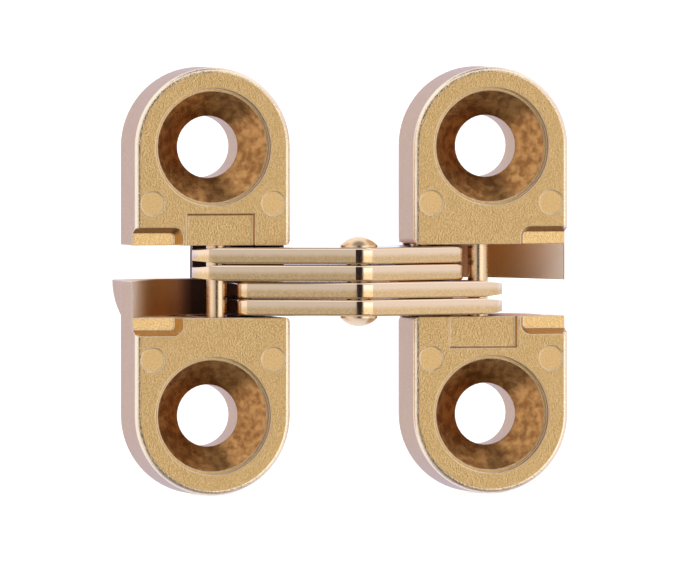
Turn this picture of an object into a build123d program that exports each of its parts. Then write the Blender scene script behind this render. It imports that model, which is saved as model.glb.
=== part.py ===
from build123d import *
from math import asin, atan2, cos, degrees, radians, sin, sqrt
import os

# An invisible hinge, fully open. +Z runs up along the pins, +X to the right, and the front faces
# look towards -Y. The origin is the middle of the left leaf on the back plane of its wings, midway
# between its two screw holes. The right leaf and the upper link are the left leaf and the lower
# link turned half a turn about the hinge's middle line, which runs from front to back.

# Leaves
leaf_width = 9.4
screw_spacing = 15.875
wing_thickness = 3.97
leaf_gap = 7.5
front_edge_radius = 0.3
slot_corner_radius = 0.35
boss_inset = 0.05
boss_depth = 9.4
boss_back_radius = 3.3

# Countersunk screw holes
screw_hole_radius = 1.83
countersink_radius = 3.3
countersink_angle = 100
rim_radius = 3.49
rim_depth = 0.35

# Link plates, two in each link
plate_thickness = 0.98
plate_gap = 0.04
plate_edge_radius = 0.16
tip_taper = 0.18
tip_taper_length = 1.7
pivot_end_radius = 1.25
elbow_radius = 1.5
slide_end_radius = 1.45
shoulder_out = 0.65
shoulder_rise = 4.74
shoulder_radius = 0.8
inner_corner_radius = 0.8

# Pins, with their insets measured from the leaf's inner side and depths from its front
pivot_inset = 1.65
pivot_depth = 5.4
pivot_pin_radius = 0.55
slide_inset = 4.2
slide_depth = 1.35
slide_pin_radius = 0.6
centre_rise = 1.55
centre_pin_radius = 0.7
head_radius = 1.1
head_edge = 0.12
head_height = 0.62
pin_seat = 0.58
pivot_pin_top = 2.95
pin_chamfer = 0.08

# Fits and clearances
closed_gap = 1.0
running_clearance = 0.04
press_clearance = 0.01
slot_clearance = 0.115
pocket_clearance = 0.15
floor_clearance = 0.225
pocket_corner_radius = 2
notch_width = 5.45
block_clearance = 0.35
block_lift = 0.03
pivot_wall = 0.85
end_play = 0.05

# Recesses in the front faces, with drafted walls. The ledges take their size from the rivet heads
# and this room.
recess_draft = 20
head_room_beside = 0.5809
head_room_above = 0.555
head_room_behind = 0.35
ledge_corner_radius = 0.6
panel_length = 4.15
panel_rib = 0.2
panel_height = 1.88
panel_depth = 0.3
ejector_radius = 0.72
ejector_depth = 0.06
ejector_across = 3.65
ejector_up = 4.61

# Heights worked out from the stack of plates
plate_pitch = plate_thickness + plate_gap
stack_half = 2 * plate_pitch - plate_gap / 2
slot_half = stack_half + slot_clearance
groove_half = slot_half + pin_seat

# Plan view of the left half. A point is (x, y), and front_y is where the front faces lie.
leaf_to_middle = (leaf_width + leaf_gap) / 2
front_y = -wing_thickness
back_y = front_y + boss_depth
outer_x = -leaf_width / 2
inner_x = leaf_width / 2
boss_radius = leaf_width / 2 - boss_inset
pivot = Vector(inner_x - pivot_inset, front_y + pivot_depth)
slide_open = Vector(inner_x - slide_inset, front_y + slide_depth)
centre_open = Vector(leaf_to_middle, front_y - centre_rise)
shoulder_open = pivot - Vector(shoulder_out, shoulder_rise)
slide_far = Vector(2 * leaf_to_middle - slide_open.X, slide_open.Y)
hinge_middle = Axis((leaf_to_middle, 0, 0), (0, 1, 0))


def turned(point, angle, about=Vector(0, 0)):
    """The point after the links close by this many degrees about another point."""
    arm = point - about
    c, s = cos(radians(angle)), sin(radians(angle))
    return Vector(about.X + c * arm.X + s * arm.Y, about.Y - s * arm.X + c * arm.Y)


# When the hinge is closed, the two front faces lie closed_gap apart and the centre pin lies midway
# between them. That gives the angle by which the lower link turns on its pivot.
link_reach = (centre_open - pivot).length
centre_closed_y = front_y - closed_gap / 2
angle_open = degrees(atan2(pivot.Y - centre_open.Y, centre_open.X - pivot.X))
angle_closed = 180 - degrees(asin((pivot.Y - centre_closed_y) / link_reach))
link_turn = angle_closed - angle_open
centre_closed = turned(centre_open, link_turn, pivot)
ledge_length = centre_closed.X + head_radius + head_room_beside - outer_x
ledge_depth = centre_closed.Y + head_radius + head_room_behind - front_y
ledge_top = stack_half + press_clearance + head_height + head_room_above
shoulder_closed = turned(shoulder_open, link_turn, pivot)


def slide_position(closing):
    """Where the slide pin lies when the right leaf has turned by this many degrees."""
    share = link_turn / 180
    centre = turned(centre_open, share * closing, pivot)
    return centre + turned(slide_open - centre_open, (1 - share) * closing)


def groove_side(closing, aside, ahead=0):
    """A point of the slide pin's groove, this far to one side of the pin's path and ahead along it."""
    step = (slide_position(closing + 1) - slide_position(closing - 1)).normalized()
    return slide_position(closing) + Vector(-step.Y, step.X) * aside + step * ahead


slide_closed = slide_position(180)

print("link turn", round(link_turn, 4), "of 180; scissor turn", round(180 - 2 * link_turn, 4))
print("pivot", pivot, "centre pin", centre_open, "slide pin", slide_open)
print("closed: centre pin", centre_closed, "slide pin", slide_closed)

# Outline of a link plate: a slanted leg from the pivot to the elbow, with a rounded shoulder in
# front of the pivot, and an arm from the elbow to the slide pin in the other leaf.
with BuildSketch() as leg_outline:
    with BuildLine():
        CenterArc(pivot, pivot_end_radius, 0, 360)
        CenterArc(shoulder_open, shoulder_radius, 0, 360)
        CenterArc(centre_open, elbow_radius, 0, 360)
    make_hull()

with BuildSketch() as arm_outline:
    with BuildLine():
        CenterArc(centre_open, elbow_radius, 0, 360)
        CenterArc(slide_far, slide_end_radius, 0, 360)
    make_hull()

with BuildSketch() as plate_outline:
    add(leg_outline.sketch)
    add(arm_outline.sketch)
    below_elbow = (centre_open.X, centre_open.Y + 2 * elbow_radius)
    fillet(plate_outline.vertices().sort_by_distance(below_elbow)[0], inner_corner_radius)


def link_plate(layer):
    """A stamped plate of the lower link. Layer 1 lies just below the seam between the links."""
    middle = (0.5 - layer) * plate_pitch
    with BuildPart() as plate:
        with BuildSketch(Plane.XY.offset(middle - plate_thickness / 2)):
            add(plate_outline.sketch)
        extrude(amount=plate_thickness)
        fillet(plate.edges().filter_by(Plane.XY), plate_edge_radius)
        with BuildSketch(Plane.XY.offset(middle - plate_thickness / 2)):
            with Locations(pivot):
                Circle(pivot_pin_radius + running_clearance)
            with Locations(centre_open):
                Circle(centre_pin_radius + running_clearance)
            with Locations(slide_far):
                Circle(slide_pin_radius + press_clearance)
        extrude(amount=plate_thickness, mode=Mode.SUBTRACT)

        # both faces taper towards the round tip
        tip = slide_far.X + slide_end_radius
        tip_plane = Plane(origin=(tip, slide_far.Y, middle), x_dir=(1, 0, 0), z_dir=(0, -1, 0))
        with BuildSketch(tip_plane):
            for side in (1, -1):
                with BuildLine():
                    Polyline((-tip_taper_length, side * plate_thickness / 2), (0, side * plate_thickness / 2),
                             (0, side * (plate_thickness / 2 - tip_taper)), close=True)
                make_face()
        extrude(amount=2 * slide_end_radius, both=True, mode=Mode.SUBTRACT)
    return plate.part


with BuildPart() as lower_link_plate_1:
    add(link_plate(1))
with BuildPart() as lower_link_plate_2:
    add(link_plate(2))
with BuildPart() as upper_link_plate_1:
    add(lower_link_plate_1.part.rotate(hinge_middle, 180))
with BuildPart() as upper_link_plate_2:
    add(lower_link_plate_2.part.rotate(hinge_middle, 180))

# Centre rivet: a plain shank through all four plates with a domed head at each end.
rivet_plane = Plane(origin=centre_open, x_dir=(1, 0, 0), z_dir=(0, -1, 0))
head_seat = stack_half + press_clearance
crown = head_seat + head_height
dome_height = head_height - head_edge
dome_radius = (head_radius**2 + dome_height**2) / (2 * dome_height)
dome_middle = crown - dome_radius + sqrt(dome_radius**2 - head_radius**2 / 4)
with BuildPart() as centre_pin:
    with BuildSketch(rivet_plane):
        with BuildLine():
            for side in (1, -1):
                Polyline((centre_pin_radius, 0), (centre_pin_radius, side * head_seat),
                         (head_radius, side * head_seat), (head_radius, side * (head_seat + head_edge)))
                ThreePointArc((head_radius, side * (head_seat + head_edge)),
                              (head_radius / 2, side * dome_middle), (0, side * crown))
            Line((0, -crown), (0, crown))
        make_face()
    revolve(axis=Axis(centre_open, (0, 0, 1)))

# Slide pin of the left leaf. It is carried by the upper link and runs in the leaf's two grooves.
with BuildPart() as left_slide_pin:
    with BuildSketch(Plane.XY.offset(-groove_half + end_play)):
        with Locations(slide_open):
            Circle(slide_pin_radius)
    extrude(amount=2 * (groove_half - end_play))
    chamfer(left_slide_pin.edges(), length=pin_chamfer)

with BuildPart() as right_slide_pin:
    add(left_slide_pin.part.rotate(hinge_middle, 180))

# Pivot pin of the left leaf. It is pressed in through the drilled upper cheek.
with BuildPart() as left_pivot_pin:
    with BuildSketch(Plane.XY.offset(-groove_half + end_play)):
        with Locations(pivot):
            Circle(pivot_pin_radius)
    extrude(amount=groove_half - end_play + pivot_pin_top)
    chamfer(left_pivot_pin.edges(), length=pin_chamfer)

with BuildPart() as right_pivot_pin:
    add(left_pivot_pin.part.rotate(hinge_middle, 180))

# Left leaf: a flat casting with round ends, a deep round boss behind its middle, a countersunk hole
# in each wing and a slot across it. The lower half of the slot is a pocket for the lower link's
# pivot end. The upper half is cut right through at its outer side for the upper link's tip.
front_plane = Plane(origin=(0, front_y, 0), x_dir=(1, 0, 0), z_dir=(0, -1, 0))

with BuildPart() as left_leaf:
    with BuildSketch(front_plane):
        Circle(boss_radius)
    extrude(amount=-boss_depth)
    fillet(left_leaf.faces().sort_by(Axis.Y)[-1].edges(), boss_back_radius)
    with BuildSketch(front_plane):
        SlotCenterToCenter(screw_spacing, leaf_width, rotation=90)
    extrude(amount=-wing_thickness)
    fillet(left_leaf.faces().sort_by(Axis.Y)[0].edges(), front_edge_radius)

    # screw holes with a short straight rim above the cone
    with Locations(front_plane.offset(-rim_depth)):
        with Locations((0, screw_spacing / 2), (0, -screw_spacing / 2)):
            CounterSinkHole(screw_hole_radius, countersink_radius, counter_sink_angle=countersink_angle)
    with BuildSketch(front_plane.offset(-rim_depth)):
        with Locations((0, screw_spacing / 2), (0, -screw_spacing / 2)):
            Circle(rim_radius)
    extrude(amount=2 * rim_depth, mode=Mode.SUBTRACT)

    # lower half of the slot: a ramp that the closed link lies along, then a flat floor. It reaches a
    # little above the seam between the links, so that the lower link clears the block above it.
    elbow_line = centre_closed - shoulder_closed
    spread = degrees(asin((elbow_radius - shoulder_radius) / elbow_line.length))
    ramp_angle = degrees(atan2(elbow_line.Y, elbow_line.X)) - spread
    ramp = Vector(cos(radians(ramp_angle)), sin(radians(ramp_angle)))
    outward = Vector(ramp.Y, -ramp.X)
    ramp_foot = shoulder_closed + outward * (shoulder_radius + pocket_clearance)
    ramp_top = ramp_foot + ramp * (2 * shoulder_rise)
    floor_y = max(slide_closed.Y + slide_pin_radius + floor_clearance,
                  pivot.Y + pivot_end_radius + floor_clearance)
    past_inner = inner_x + leaf_width
    with BuildSketch(Plane.XY.offset(-slot_half)):
        with BuildLine():
            FilletPolyline(ramp_top, ramp_foot, (slide_closed.X - slide_end_radius, floor_y),
                           (past_inner, floor_y), radius=pocket_corner_radius)
            Polyline((past_inner, floor_y), (past_inner, ramp_top.Y), ramp_top)
        make_face()
    extrude(amount=slot_half + block_lift, mode=Mode.SUBTRACT)

    # upper half of the slot: open to the outer side and, through a notch, to the back. A block
    # behind the link holds the pivot pin, and a thin back wall runs from it to the notch.
    along = (centre_open - slide_open).normalized()
    beneath = Vector(-along.Y, along.X) * (elbow_radius + block_clearance)
    block_side = pivot.X - pivot_pin_radius - pivot_wall
    block_top = slide_open + beneath
    rise = along.Y / along.X
    notch_side = outer_x + notch_width
    back_wall_y = slide_closed.Y + slide_end_radius + pocket_clearance
    with BuildSketch(Plane.XY):
        with BuildLine():
            Polyline((outer_x - leaf_width, front_y - leaf_width), (outer_x - leaf_width, 2 * back_y),
                     (notch_side, 2 * back_y), (notch_side, back_wall_y), (block_side, back_wall_y),
                     (block_side, block_top.Y + (block_side - block_top.X) * rise),
                     (past_inner, block_top.Y + (past_inner - block_top.X) * rise),
                     (past_inner, front_y - leaf_width), close=True)
        make_face()
    extrude(amount=slot_half, mode=Mode.SUBTRACT)

    # grooves in both cheeks that guide the slide pin along its exact path
    half_groove = slide_pin_radius + running_clearance
    with BuildSketch(Plane.XY.offset(-groove_half)):
        with BuildLine():
            for side in (half_groove, -half_groove):
                Spline(*[groove_side(closing, side) for closing in range(0, 181, 20)])
            for closing, ahead in ((0, -half_groove), (180, half_groove)):
                ThreePointArc(groove_side(closing, half_groove), groove_side(closing, 0, ahead),
                              groove_side(closing, -half_groove))
        make_face()
    extrude(amount=2 * groove_half, mode=Mode.SUBTRACT)

    # drilled hole for the pivot pin, blind in the lower cheek and open through the upper one
    with BuildSketch(Plane.XY.offset(-groove_half)):
        with Locations(pivot):
            Circle(pivot_pin_radius + press_clearance)
    extrude(amount=groove_half + leaf_width, mode=Mode.SUBTRACT)

    # rounded ends of the cheeks at the inner side of the slot
    with BuildSketch(front_plane):
        for side, align in ((1, Align.MIN), (-1, Align.MAX)):
            with Locations((inner_x, side * slot_half)):
                Rectangle(2 * slot_corner_radius, slot_corner_radius, align=(Align.CENTER, align))
            with Locations((inner_x - slot_corner_radius, side * (slot_half + slot_corner_radius))):
                Circle(slot_corner_radius, mode=Mode.SUBTRACT)
    extrude(amount=-wing_thickness, mode=Mode.SUBTRACT)

    # ledges beside the slot, where the rivet heads lie when the hinge is closed
    with BuildSketch(front_plane) as ledges:
        with Locations((outer_x, 0)):
            Rectangle(2 * ledge_length, 2 * ledge_top)
        fillet(ledges.vertices().group_by(Axis.X)[-1], ledge_corner_radius)
    extrude(amount=-ledge_depth, taper=recess_draft, mode=Mode.SUBTRACT)

    # shallow panel beside the slot
    with BuildSketch(front_plane):
        with Locations((outer_x + ledge_length + panel_rib, slot_half - panel_depth)):
            Rectangle(panel_length, panel_height + panel_depth, align=(Align.MIN, Align.MIN))
    extrude(amount=-panel_depth, taper=recess_draft, mode=Mode.SUBTRACT)

    # round marks of the ejector pins
    with BuildSketch(front_plane.offset(-ejector_depth)):
        with GridLocations(2 * ejector_across, 2 * ejector_up, 2, 2):
            Circle(ejector_radius)
    extrude(amount=2 * ejector_depth, mode=Mode.SUBTRACT)

with BuildPart() as right_leaf:
    add(left_leaf.part.rotate(hinge_middle, 180))

pieces = {
    "left_leaf": left_leaf.part,
    "right_leaf": right_leaf.part,
    "lower_link_plate_1": lower_link_plate_1.part,
    "lower_link_plate_2": lower_link_plate_2.part,
    "upper_link_plate_1": upper_link_plate_1.part,
    "upper_link_plate_2": upper_link_plate_2.part,
    "centre_pin": centre_pin.part,
    "left_slide_pin": left_slide_pin.part,
    "right_slide_pin": right_slide_pin.part,
    "left_pivot_pin": left_pivot_pin.part,
    "right_pivot_pin": right_pivot_pin.part,
}

os.makedirs("parts", exist_ok=True)
for name, piece in pieces.items():
    piece.label = name
    export_step(piece, f"parts/{name}.step")
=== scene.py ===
# %% [markdown]
# # Invisible hinge, brass-plated
# A concealed mortise hinge lies open on a light table. Two die-cast leaves are joined by two links,
# each made of two stamped plates, and five pins hold it together. The shapes come from the packed
# CAD model. This lesson gives every piece the surface that its way of making leaves on it, then
# lights the hinge as a product photographer would.

import math

import bpy
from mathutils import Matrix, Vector


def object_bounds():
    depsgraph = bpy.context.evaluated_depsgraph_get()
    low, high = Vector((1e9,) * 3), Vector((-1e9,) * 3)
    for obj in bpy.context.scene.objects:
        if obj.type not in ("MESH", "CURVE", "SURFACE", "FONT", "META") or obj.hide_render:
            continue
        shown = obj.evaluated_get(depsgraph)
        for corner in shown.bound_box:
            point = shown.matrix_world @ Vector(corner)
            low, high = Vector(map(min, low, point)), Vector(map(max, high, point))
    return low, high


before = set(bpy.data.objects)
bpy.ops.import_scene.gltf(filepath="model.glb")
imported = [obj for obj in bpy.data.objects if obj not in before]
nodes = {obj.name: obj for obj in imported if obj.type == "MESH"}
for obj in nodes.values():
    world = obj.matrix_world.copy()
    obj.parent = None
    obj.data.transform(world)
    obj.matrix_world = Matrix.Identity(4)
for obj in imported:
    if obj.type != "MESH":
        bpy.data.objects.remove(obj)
cad_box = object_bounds()
print("pieces:", len(nodes), "box in mm:", [[round(v * 1000, 2) for v in corner] for corner in cad_box])

# %% [markdown]
# ## Colours and nodes
# Paint charts and photographs give colours as sRGB hex values, but a shader reckons in linear
# light, so one function turns the first into the second. A second small function adds a node, sets
# its values and links its inputs. With these two, a material reads from top to bottom like a recipe.

# %% Colour and node helpers
MM = 0.001
TO_MM = (1000, 1000, 1000)


def linear(hex_colour):
    """The linear colour, with alpha, of an sRGB hex value."""
    channels = [int(hex_colour[i:i + 2], 16) / 255 for i in (1, 3, 5)]
    return [c / 12.92 if c <= 0.04045 else ((c + 0.055) / 1.055) ** 2.4 for c in channels] + [1.0]


def add_node(tree, kind, inputs=None, **settings):
    """Adds a node, sets its properties, and gives each input a value or a link from another socket."""
    node = tree.nodes.new(kind)
    for name, value in settings.items():
        setattr(node, name, value)
    for name, value in (inputs or {}).items():
        if isinstance(value, bpy.types.NodeSocket):
            tree.links.new(value, node.inputs[name])
        else:
            node.inputs[name].default_value = value
    return node


print("brass as linear light:", [round(c, 3) for c in linear("#E2BF87")[:3]])

# %% [markdown]
# ## Camera
# The photograph was taken from a long way off with a long lens, a little to the left of the hinge
# and just above it, so the leaves show a narrow strip of their left flanks and no perspective. The
# camera stands 1.2 m away. Its lens makes one millimetre of the hinge 16.9 pixels tall. It aims a
# touch below and to the left of the hinge's middle, because the hinge isn't quite centred in the
# picture.

# %% Camera
camera_azimuth = math.radians(-13.5)
camera_elevation = math.radians(1.3)
camera_distance = 1.2
pixels_per_mm = 16.923
picture_width = 699
sensor_width = 36.0
aim_left, aim_down = 0.186 * MM, 0.236 * MM

towards_camera = Vector((math.sin(camera_azimuth) * math.cos(camera_elevation),
                         -math.cos(camera_azimuth) * math.cos(camera_elevation),
                         math.sin(camera_elevation)))
right = Vector((math.cos(camera_azimuth), math.sin(camera_azimuth), 0))
up = right.cross(-towards_camera)

hinge_middle = Vector((8.45, -3.97, 0)) * MM
aim = hinge_middle - right * aim_left - up * aim_down
camera_data = bpy.data.cameras.new("camera")
camera_data.sensor_width = sensor_width
camera_data.lens = sensor_width * camera_distance / (picture_width / pixels_per_mm * MM)
camera_data.clip_start, camera_data.clip_end = 0.05, 20
camera = bpy.data.objects.new("camera", camera_data)
bpy.context.scene.collection.objects.link(camera)
camera.location = aim + towards_camera * camera_distance
camera.rotation_euler = towards_camera.to_track_quat("Z", "Y").to_euler()
bpy.context.scene.camera = camera
print("lens in mm:", round(camera_data.lens), "camera at", [round(v, 3) for v in camera.location])

# %% [markdown]
# ## Light table
# White with no shadow and no horizon is what an opal acrylic light table gives: the sheet glows
# from below and fades out any shadow. It is one wide plane at the hinge's foot. Reflections leave
# it out, because a white sheet in front of polished metal would wash out all its dark lines.

# %% Light table
def named_material(name):
    """A new material with an empty tree, its Principled shader and its output."""
    material = bpy.data.materials.new(name)
    material.use_nodes = True
    tree = material.node_tree
    tree.nodes.clear()
    shader = add_node(tree, "ShaderNodeBsdfPrincipled")
    add_node(tree, "ShaderNodeOutputMaterial", {"Surface": shader.outputs[0]})
    return material, tree, shader


acrylic, tree, shader = named_material("opal_acrylic_lit_from_below")
shader.inputs["Base Color"].default_value = linear("#A8A8A8")
shader.inputs["Roughness"].default_value = 0.6
shader.inputs["Emission Color"].default_value = linear("#FFFFFF")
shader.inputs["Emission Strength"].default_value = 0.8

table_size = 8.0
table_height = cad_box[0].z
bpy.ops.object.select_all(action="DESELECT")
bpy.ops.mesh.primitive_plane_add(size=table_size, location=(hinge_middle.x, 0, table_height))
table = bpy.context.object
table.name = "light_table"
bpy.ops.object.transform_apply(location=True, rotation=True, scale=True)
table.data.materials.append(acrylic)
table.visible_glossy = False
print("table at z =", round(table_height * 1000, 2), "mm")

# %% [markdown]
# ## Light tent
# Plated metal has hardly any colour of its own to show: it mirrors what stands around it. Lamps
# and cloths could be modelled as meshes, but a tent painted on the world by the angle of each
# direction is simpler to move about. Bright cloths hang behind the hinge and at both sides. The
# front one is greyer, with a softbox at the right and a pale card at the left of the lens. The
# dark opening that the camera looks through draws the crisp dark line down the bend of the links.
# The camera itself sees plain white beyond the table.

# %% Directions in the tent
world = bpy.data.worlds.new("light_tent")
bpy.context.scene.world = world
world.use_nodes = True
tree = world.node_tree
tree.nodes.clear()
direction = add_node(tree, "ShaderNodeTexCoord").outputs["Generated"]
to_right, to_back, to_top = add_node(tree, "ShaderNodeSeparateXYZ", {0: direction}).outputs
to_front = add_node(tree, "ShaderNodeMath", {0: to_back, 1: -1.0}, operation="MULTIPLY").outputs[0]
azimuth = add_node(tree, "ShaderNodeMath", {0: to_right, 1: to_front}, operation="ARCTAN2").outputs[0]
off_front = add_node(tree, "ShaderNodeMath", {0: azimuth}, operation="ABSOLUTE").outputs[0]
elevation = add_node(tree, "ShaderNodeMath", {0: to_top}, operation="ARCSINE").outputs[0]


def window(tree, angle, start, end, soft):
    """1 where an angle of the direction lies between two bounds, in degrees, with soft borders."""
    borders = [add_node(tree, "ShaderNodeMapRange", {
        "Value": angle, "From Min": math.radians(outside), "From Max": math.radians(inside)},
        interpolation_type="SMOOTHSTEP").outputs[0]
        for outside, inside in ((start - soft, start), (end + soft, end))]
    return add_node(tree, "ShaderNodeMath", {
        0: borders[0], 1: borders[1]}, operation="MULTIPLY").outputs[0]


print("directions are read as azimuth, 0 at the front and 90 at the right, and elevation")

# %% Cloths, softbox and opening
front_cloth = (0.55, 0.54, 0.53)
all_round = (-180, 180)
panels = (  # name, colour, angle for the sideways bounds, those bounds, height bounds, soft border
    ("lower cloth", (0.40, 0.39, 0.38), azimuth, all_round, (-90, -35), 20),
    ("left cloth", (1.15, 1.12, 1.10), azimuth, (-110, -52), (-40, 90), 10),
    ("right cloth", (0.95, 0.94, 0.96), azimuth, (50, 110), (-40, 90), 8),
    ("backdrop", (1.08, 1.13, 1.30), off_front, (115, 180), (-90, 90), 25),
    ("upper cloth", (1.20, 1.20, 1.20), azimuth, all_round, (38, 62), 12),
    ("roof", (0.26, 0.25, 0.24), azimuth, all_round, (73, 90), 8),
    ("card beside the lens", (0.72, 0.72, 0.72), azimuth, (-46, -27), (-20, 20), 4),
    ("softbox", (1.55, 1.53, 1.51), azimuth, (11, 48), (-24, 8), 5),
    ("opening", (0.03, 0.025, 0.03), azimuth, (-21, 2), (-50, 40), 3))

light = (*front_cloth, 1)
for name, colour, sideways, widths, heights, soft in panels:
    across, upwards = window(tree, sideways, *widths, soft), window(tree, elevation, *heights, soft)
    share = add_node(tree, "ShaderNodeMath", {0: across, 1: upwards}, operation="MULTIPLY").outputs[0]
    light = add_node(tree, "ShaderNodeMix", {"Factor": share, 6: light, 7: (*colour, 1)},
                     data_type="RGBA").outputs[2]
    print(name, "level", round(sum(colour) / 3, 2), "azimuth", widths, "elevation", heights)

seen = add_node(tree, "ShaderNodeLightPath").outputs["Is Camera Ray"]
light = add_node(tree, "ShaderNodeMix", {"Factor": seen, 6: light, 7: linear("#FFFFFF")},
                 data_type="RGBA").outputs[2]
background = add_node(tree, "ShaderNodeBackground", {"Color": light, "Strength": 1.0})
add_node(tree, "ShaderNodeOutputWorld", {"Surface": background.outputs[0]})
bpy.context.scene.view_settings.view_transform = "Standard"

# %% [markdown]
# ## Where the features of a leaf lie
# A casting has no seams between its finishes: the cutter leaves off at a cone's rim, and the
# painted shade of the slot deepens gradually inwards. Faces could be sorted into material slots, but
# they don't end where such a change fades, so each feature gets a mask instead. A mask is 1 on its
# feature and 0 elsewhere. It is reckoned in millimetres from the leaf's middle lines, so one recipe
# serves both leaves.

# %% Mask helpers
def distance(tree, one_way, other_way):
    """The distance that two lengths at right angles to each other add up to."""
    flat = add_node(tree, "ShaderNodeCombineXYZ", {"X": one_way, "Y": other_way}).outputs[0]
    return add_node(tree, "ShaderNodeVectorMath", {0: flat}, operation="LENGTH").outputs["Value"]


def beyond(tree, value, limit):
    """How far a value lies past a limit, and 0 before it."""
    past = add_node(tree, "ShaderNodeMath", {0: value, 1: limit}, operation="SUBTRACT").outputs[0]
    return add_node(tree, "ShaderNodeMath", {0: past, 1: 0.0}, operation="MAXIMUM").outputs[0]


def where(tree, *tests):
    """1 where every test holds. A test is a value, a comparison and a limit."""
    share = 1.0
    for value, comparison, limit in tests:
        passed = add_node(tree, "ShaderNodeMath", {0: value, 1: limit}, operation=comparison).outputs[0]
        share = add_node(tree, "ShaderNodeMath", {0: share, 1: passed}, operation="MULTIPLY").outputs[0]
    return share


print("three helpers for masks:", ", ".join(f.__name__ for f in (distance, beyond, where)))

# %% Features of a leaf, in mm
screw_height = 15.875 / 2
cone_reach, cone_front, cone_back = 3.31, -3.63, -2.38
mark_across, mark_up, mark_reach, mark_back = 3.65, 4.61, 0.72, -3.87
slot_half, slot_lip = 2.15, -4.68
wing_back, boss_flat, boss_turn, boss_reach = 0.0, 1.35, 2.13, 3.22
ledge_half, ledge_front, ledge_back, ledge_end = 3.25, -3.92, -2.95, -1.75
edge_reach, edge_back = 4.42, -3.7


def leaf_features(tree, leaf_x, inward):
    """The masks of a leaf with its screw holes at this x and its inner side towards +X (inward 1) or
    -X (inward -1), with its place in millimetres and the depth into its slot."""
    place = add_node(tree, "ShaderNodeTexCoord").outputs["Object"]
    place = add_node(tree, "ShaderNodeMapping", {"Vector": place, "Scale": TO_MM}).outputs[0]
    x, y, z = add_node(tree, "ShaderNodeSeparateXYZ", {0: place}).outputs
    across = add_node(tree, "ShaderNodeMath", {0: x, 1: leaf_x}, operation="SUBTRACT").outputs[0]
    depth = add_node(tree, "ShaderNodeMath", {0: across, 1: inward}, operation="MULTIPLY").outputs[0]
    side = add_node(tree, "ShaderNodeMath", {0: across}, operation="ABSOLUTE").outputs[0]
    high = add_node(tree, "ShaderNodeMath", {0: z}, operation="ABSOLUTE").outputs[0]
    features = {"place": place, "depth": depth}

    to_screw = add_node(tree, "ShaderNodeMath", {
        0: high, 1: screw_height}, operation="SUBTRACT").outputs[0]
    features["cone"] = where(tree, (distance(tree, side, to_screw), "LESS_THAN", cone_reach),
                             (y, "GREATER_THAN", cone_front), (y, "LESS_THAN", cone_back))
    out = add_node(tree, "ShaderNodeMath", {0: side, 1: mark_across}, operation="SUBTRACT").outputs[0]
    rise = add_node(tree, "ShaderNodeMath", {0: high, 1: mark_up}, operation="SUBTRACT").outputs[0]
    features["mark"] = where(tree, (distance(tree, out, rise), "LESS_THAN", mark_reach),
                             (y, "LESS_THAN", mark_back))

    # the slot lies between the cheeks, inside the wing's outer side and the boss's rounded back
    round_boss = distance(tree, beyond(tree, distance(tree, across, high), boss_flat),
                          beyond(tree, y, boss_turn))
    in_boss = where(tree, (round_boss, "LESS_THAN", boss_reach))
    in_wing = where(tree, (y, "LESS_THAN", wing_back))
    in_either = add_node(tree, "ShaderNodeMath", {
        0: in_boss, 1: in_wing}, operation="MAXIMUM").outputs[0]
    features["slot"] = where(tree, (in_either, "GREATER_THAN", 0.5), (high, "LESS_THAN", slot_half),
                             (y, "GREATER_THAN", ledge_back), (depth, "GREATER_THAN", slot_lip))
    features["ledge"] = where(tree, (high, "LESS_THAN", ledge_half), (y, "GREATER_THAN", ledge_front),
                              (y, "LESS_THAN", ledge_back), (depth, "GREATER_THAN", slot_lip),
                              (depth, "LESS_THAN", ledge_end))

    # the outline's rounded front edge runs straight up to the screw holes, then round them
    reach = distance(tree, side, beyond(tree, high, screw_height))
    features["edge"] = where(tree, (reach, "GREATER_THAN", edge_reach), (y, "LESS_THAN", edge_back))
    return features


print("screw holes", screw_height, "mm above and below the middle, cones to", cone_reach, "mm off them")

# %% [markdown]
# ## Colours of a leaf
# The leaves are zinc die castings with a thin flash of brass plating. The die's skin leaves a fine
# mottled grain on the front faces. The screw cones, cut after casting, are painted a darker copper,
# which stands in for the shade in these hollows. In the slot a colour ramp paints light and shade:
# pale near the mouth, where light comes in, and darker inwards, where shade falls. Noises draw the
# grain, the patches and the smudges, so none of it comes from an image.

# %% Skin, copper and painted slot shade
grains_per_mm = 11.0
patches_per_mm = 0.9
smudges_per_mm = 2.2
slot_mouth, slot_end = -4.7, 1.3
# painted light and shade in the slot: pale near the mouth, darker deep inside
slot_painted_stops = ((0.0, "#FFF2E4"), (0.12, "#FFE8D2"), (0.24, "#FFDAAE"), (0.38, "#FFC87C"),
               (0.58, "#FFC078"), (0.72, "#E0A878"), (0.80, "#966A4C"), (0.88, "#4A3426"))


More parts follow.
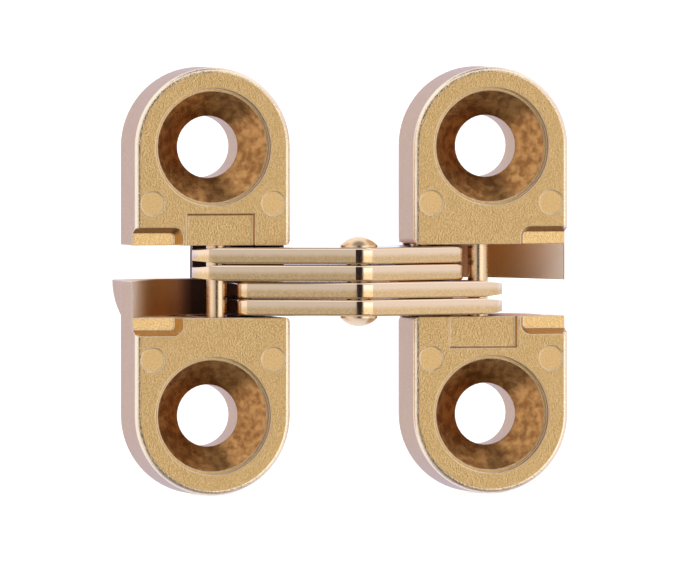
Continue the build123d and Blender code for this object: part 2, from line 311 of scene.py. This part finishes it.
def leaf_colour(tree, features, grain):
    """The mottled skin, with the cones' darker copper and the slot's painted light and shade over it.
    """
    place = features["place"]
    patches = add_node(tree, "ShaderNodeTexNoise", {
        "Vector": place, "Scale": patches_per_mm, "Detail": 2.0}).outputs["Fac"]
    mottle = add_node(tree, "ShaderNodeMapRange", {
        "Value": grain, "From Min": 0.35, "From Max": 0.65}).outputs[0]
    skin = add_node(tree, "ShaderNodeMix", {
        "Factor": patches, 6: linear("#DDB981"), 7: linear("#E9C792")}, data_type="RGBA").outputs[2]
    skin = add_node(tree, "ShaderNodeMix", {
        "Factor": mottle, 6: linear("#CDA86F"), 7: skin}, data_type="RGBA").outputs[2]

    smudges = add_node(tree, "ShaderNodeTexNoise", {
        "Vector": place, "Scale": smudges_per_mm, "Detail": 5.0}).outputs["Fac"]
    smudges = add_node(tree, "ShaderNodeMapRange", {
        "Value": smudges, "From Min": 0.38, "From Max": 0.62}).outputs[0]
    # painted shade: the cones get a darker copper that stands in for the shade in these hollows
    copper_with_painted_shade = add_node(tree, "ShaderNodeMix", {
        "Factor": smudges, 6: linear("#8C6038"), 7: linear("#B98A57")}, data_type="RGBA").outputs[2]

    # the depth into the slot picks the painted light or the painted shade
    share = add_node(tree, "ShaderNodeMapRange", {
        "Value": features["depth"], "From Min": slot_mouth, "From Max": slot_end}).outputs[0]
    slot_painted_light_and_shade = add_node(tree, "ShaderNodeValToRGB", {"Fac": share})
    stops = slot_painted_light_and_shade.color_ramp.elements
    for index, (position, shade) in enumerate(slot_painted_stops):
        stop = stops[index] if index < len(stops) else stops.new(position)
        stop.position, stop.color = position, linear(shade)

    colour = skin
    for part, shade in (("cone", copper_with_painted_shade), ("slot", slot_painted_light_and_shade.outputs[0])):
        colour = add_node(tree, "ShaderNodeMix", {"Factor": features[part], 6: colour, 7: shade},
                          data_type="RGBA").outputs[2]
    return colour


print("grain every", round(1 / grains_per_mm, 2), "mm,",
      "patches every", round(1 / patches_per_mm, 1), "mm")

# %% [markdown]
# ## Rounded rims and painted highlights of a leaf
# Tumbling and handling round every rim by about a tenth of a millimetre. Cutting so small a radius
# into the mesh would cost many faces, so a Bevel node rounds the shading instead. Where its normal
# parts from the true one, there is a rim, and there the colour is painted paler as a highlight. The
# rounded front edge is real geometry, and its mask paints the same highlight all along the outline.

# %% Rims and edge
rim_radius = 0.1 * MM
# the paler colour of the rims and the front edge is a painted highlight
rim_painted_highlight, edge_painted_highlight = 0.75, 0.7
rim_start, rim_full = 0.995, 0.93  # the cosines of about 6 and 22 degrees


def rims_and_painted_highlight(tree, features):
    """The normal that rounds the rims, and how strongly each spot gets a painted highlight."""
    worn = add_node(tree, "ShaderNodeBevel", {"Radius": rim_radius}, samples=6).outputs[0]
    true_normal = add_node(tree, "ShaderNodeNewGeometry").outputs["Normal"]
    match = add_node(tree, "ShaderNodeVectorMath", {
        0: worn, 1: true_normal}, operation="DOT_PRODUCT").outputs["Value"]
    rim = add_node(tree, "ShaderNodeMapRange", {
        "Value": match, "From Min": rim_start, "From Max": rim_full, "To Max": rim_painted_highlight}).outputs[0]
    edge = add_node(tree, "ShaderNodeMath", {
        0: features["edge"], 1: edge_painted_highlight}, operation="MULTIPLY").outputs[0]
    return worn, add_node(tree, "ShaderNodeMath", {0: rim, 1: edge}, operation="MAXIMUM").outputs[0]


print("rims rounded by", rim_radius * 1000, "mm")

# %% [markdown]
# ## Cast leaves
# Now the leaf's material comes together. The cut cones, the ledges and above all the edge are
# smoother than the cast skin, and the ejector pins press it flat in four round marks. The slot
# keeps raw, dull skin that is hardly plated. The grain is also a low relief, which makes it sparkle
# under the softbox. Each leaf gets the same recipe, centred on its own screw holes.

# %% Cast leaf material
grain_height = 0.03 * MM
calm_share = 0.3
slot_metallic = 0.25
part_roughness = (("cone", 0.24), ("ledge", 0.24), ("slot", 0.5), ("edge", 0.16))
left_leaf_x, right_leaf_x = 0.0, 16.9


def cast_leaf_material(name, leaf_x, inward):
    """Brass-plated zinc die casting for one leaf."""
    material, tree, shader = named_material(name)
    features = leaf_features(tree, leaf_x, inward)
    grain = add_node(tree, "ShaderNodeTexNoise", {
        "Vector": features["place"], "Scale": grains_per_mm,
        "Detail": 2.0, "Roughness": 0.6}).outputs["Fac"]
    worn, painted_highlight = rims_and_painted_highlight(tree, features)

    colour = leaf_colour(tree, features, grain)
    # painted highlight: the rims and the front edge are mixed towards a pale cream
    colour = add_node(tree, "ShaderNodeMix", {"Factor": painted_highlight, 6: colour, 7: linear("#FFF0DC")},
                      data_type="RGBA").outputs[2]
    tree.links.new(colour, shader.inputs["Base Color"])
    shader.inputs["Specular Tint"].default_value = linear("#D3D4F4")

    rough = add_node(tree, "ShaderNodeMapRange", {
        "Value": grain, "To Min": 0.26, "To Max": 0.40}).outputs[0]
    for part, value in part_roughness:
        rough = add_node(tree, "ShaderNodeMix", {
            "Factor": features[part], 2: rough, 3: value}).outputs[0]
    tree.links.new(rough, shader.inputs["Roughness"])
    metal = add_node(tree, "ShaderNodeMapRange", {
        "Value": features["slot"], "To Min": 1.0, "To Max": slot_metallic}).outputs[0]
    tree.links.new(metal, shader.inputs["Metallic"])

    calm = features["mark"]
    for part in ("cone", "ledge"):
        calm = add_node(tree, "ShaderNodeMath", {
            0: calm, 1: features[part]}, operation="MAXIMUM").outputs[0]
    calm = add_node(tree, "ShaderNodeMapRange", {
        "Value": calm, "To Min": 1.0, "To Max": calm_share}).outputs[0]
    relief = add_node(tree, "ShaderNodeMath", {0: grain, 1: calm}, operation="MULTIPLY").outputs[0]
    bump = add_node(tree, "ShaderNodeBump", {
        "Height": relief, "Strength": 0.8, "Distance": grain_height, "Normal": worn}).outputs[0]
    tree.links.new(bump, shader.inputs["Normal"])
    return material


def dress(names, material):
    """Gives CAD pieces one material in all their slots."""
    for name in names:
        mesh = nodes[name].data
        mesh.materials.clear()
        mesh.materials.append(material)
    print(material.name, "on", ", ".join(names))


dress(["left_leaf"], cast_leaf_material("plated_casting_left", left_leaf_x, 1))
dress(["right_leaf"], cast_leaf_material("plated_casting_right", right_leaf_x, -1))

# %% [markdown]
# ## Stamped plates
# The link plates are stamped from steel strip, tumbled and plated. A punch leaves two bands on a
# stamped edge: it shears the first part smooth and bright, and then the strip breaks, which leaves
# a duller band with fine torn specks. The paler colour of the sheared upper band is also a painted
# highlight along the top of each plate. Both follow the thickness of each plate, so the height above
# the middle plane, counted in plates, tells the two bands apart. A noise makes their border wavy.

# %% Bands of a stamped edge
plate_pitch = 1.02
specks_per_mm = 9.0
drag_per_mm = (2.5, 2.5, 0.8)
wave = 0.12

plate, tree, shader = named_material("plated_stamped_steel")
place = add_node(tree, "ShaderNodeTexCoord").outputs["Object"]
place = add_node(tree, "ShaderNodeMapping", {"Vector": place, "Scale": TO_MM}).outputs[0]
height = add_node(tree, "ShaderNodeSeparateXYZ", {0: place}).outputs["Z"]
layer = add_node(tree, "ShaderNodeMath", {
    0: height, 1: 1 / plate_pitch}, operation="MULTIPLY").outputs[0]
layer = add_node(tree, "ShaderNodeMath", {0: layer}, operation="FRACT").outputs[0]
drag = add_node(tree, "ShaderNodeMapping", {"Vector": place, "Scale": drag_per_mm}).outputs[0]
shear = add_node(tree, "ShaderNodeTexNoise", {
    "Vector": drag, "Scale": 1.0, "Detail": 3.0}).outputs["Fac"]
wavy = add_node(tree, "ShaderNodeMath", {
    0: shear, 1: wave, 2: layer}, operation="MULTIPLY_ADD").outputs[0]
burnish_and_painted_highlight = add_node(tree, "ShaderNodeMapRange", {
    "Value": wavy, "From Min": 0.42, "From Max": 0.75}, interpolation_type="SMOOTHSTEP").outputs[0]
specks = add_node(tree, "ShaderNodeTexNoise", {
    "Vector": place, "Scale": specks_per_mm, "Detail": 2.0}).outputs["Fac"]
print("one plate every", plate_pitch, "mm, torn specks every", round(1 / specks_per_mm, 2), "mm")

# %% Stamped plate material
speck_height = 0.02 * MM

speckle = add_node(tree, "ShaderNodeMapRange", {
    "Value": specks, "From Min": 0.40, "From Max": 0.62}).outputs[0]
torn = add_node(tree, "ShaderNodeMix", {
    "Factor": speckle, 6: linear("#D3B183"), 7: linear("#DFC194")}, data_type="RGBA").outputs[2]
# the upper band's paler colour is partly the sheared band and partly a painted highlight
colour = add_node(tree, "ShaderNodeMix", {
    "Factor": burnish_and_painted_highlight, 6: torn, 7: linear("#EFD6BC")}, data_type="RGBA").outputs[2]
tree.links.new(colour, shader.inputs["Base Color"])
rough = add_node(tree, "ShaderNodeMapRange", {
    "Value": burnish_and_painted_highlight, "To Min": 0.16, "To Max": 0.10}).outputs[0]
tree.links.new(rough, shader.inputs["Roughness"])
relief = add_node(tree, "ShaderNodeMix", {"Factor": burnish_and_painted_highlight, 2: specks, 3: shear}).outputs[0]
bump = add_node(tree, "ShaderNodeBump", {
    "Height": relief, "Strength": 0.09, "Distance": speck_height}).outputs[0]
tree.links.new(bump, shader.inputs["Normal"])
shader.inputs["Metallic"].default_value = 1.0
shader.inputs["Specular Tint"].default_value = linear("#E4E0F0")
dress([name for name in nodes if "plate" in name], plate)

# %% [markdown]
# ## Turned pins
# The pins are turned from rod and plated. Fine rings left by the turning run round them, so a noise
# that changes fast along the pin and slowly round it makes bands that are a little rougher or
# smoother. Real rings lie about 0.05 mm apart. These are 0.11 mm apart, which still shows.

# %% Turned pin material
rings_per_m = (400, 400, 9000)

pin, tree, shader = named_material("plated_turned_pin")
place = add_node(tree, "ShaderNodeTexCoord").outputs["Object"]
rings = add_node(tree, "ShaderNodeMapping", {"Vector": place, "Scale": rings_per_m}).outputs[0]
turning = add_node(tree, "ShaderNodeTexNoise", {
    "Vector": rings, "Scale": 1.0, "Detail": 2.0}).outputs["Fac"]
rough = add_node(tree, "ShaderNodeMapRange", {
    "Value": turning, "To Min": 0.22, "To Max": 0.32}).outputs[0]
tree.links.new(rough, shader.inputs["Roughness"])
shader.inputs["Base Color"].default_value = linear("#E9CBA8")
shader.inputs["Metallic"].default_value = 1.0
dress([name for name in nodes if "pin" in name], pin)

# %% [markdown]
# ## Finish
# A finish never changes a size. This cell prints the names of the materials.

# %% Materials
print("materials:", [m.name for m in bpy.data.materials])
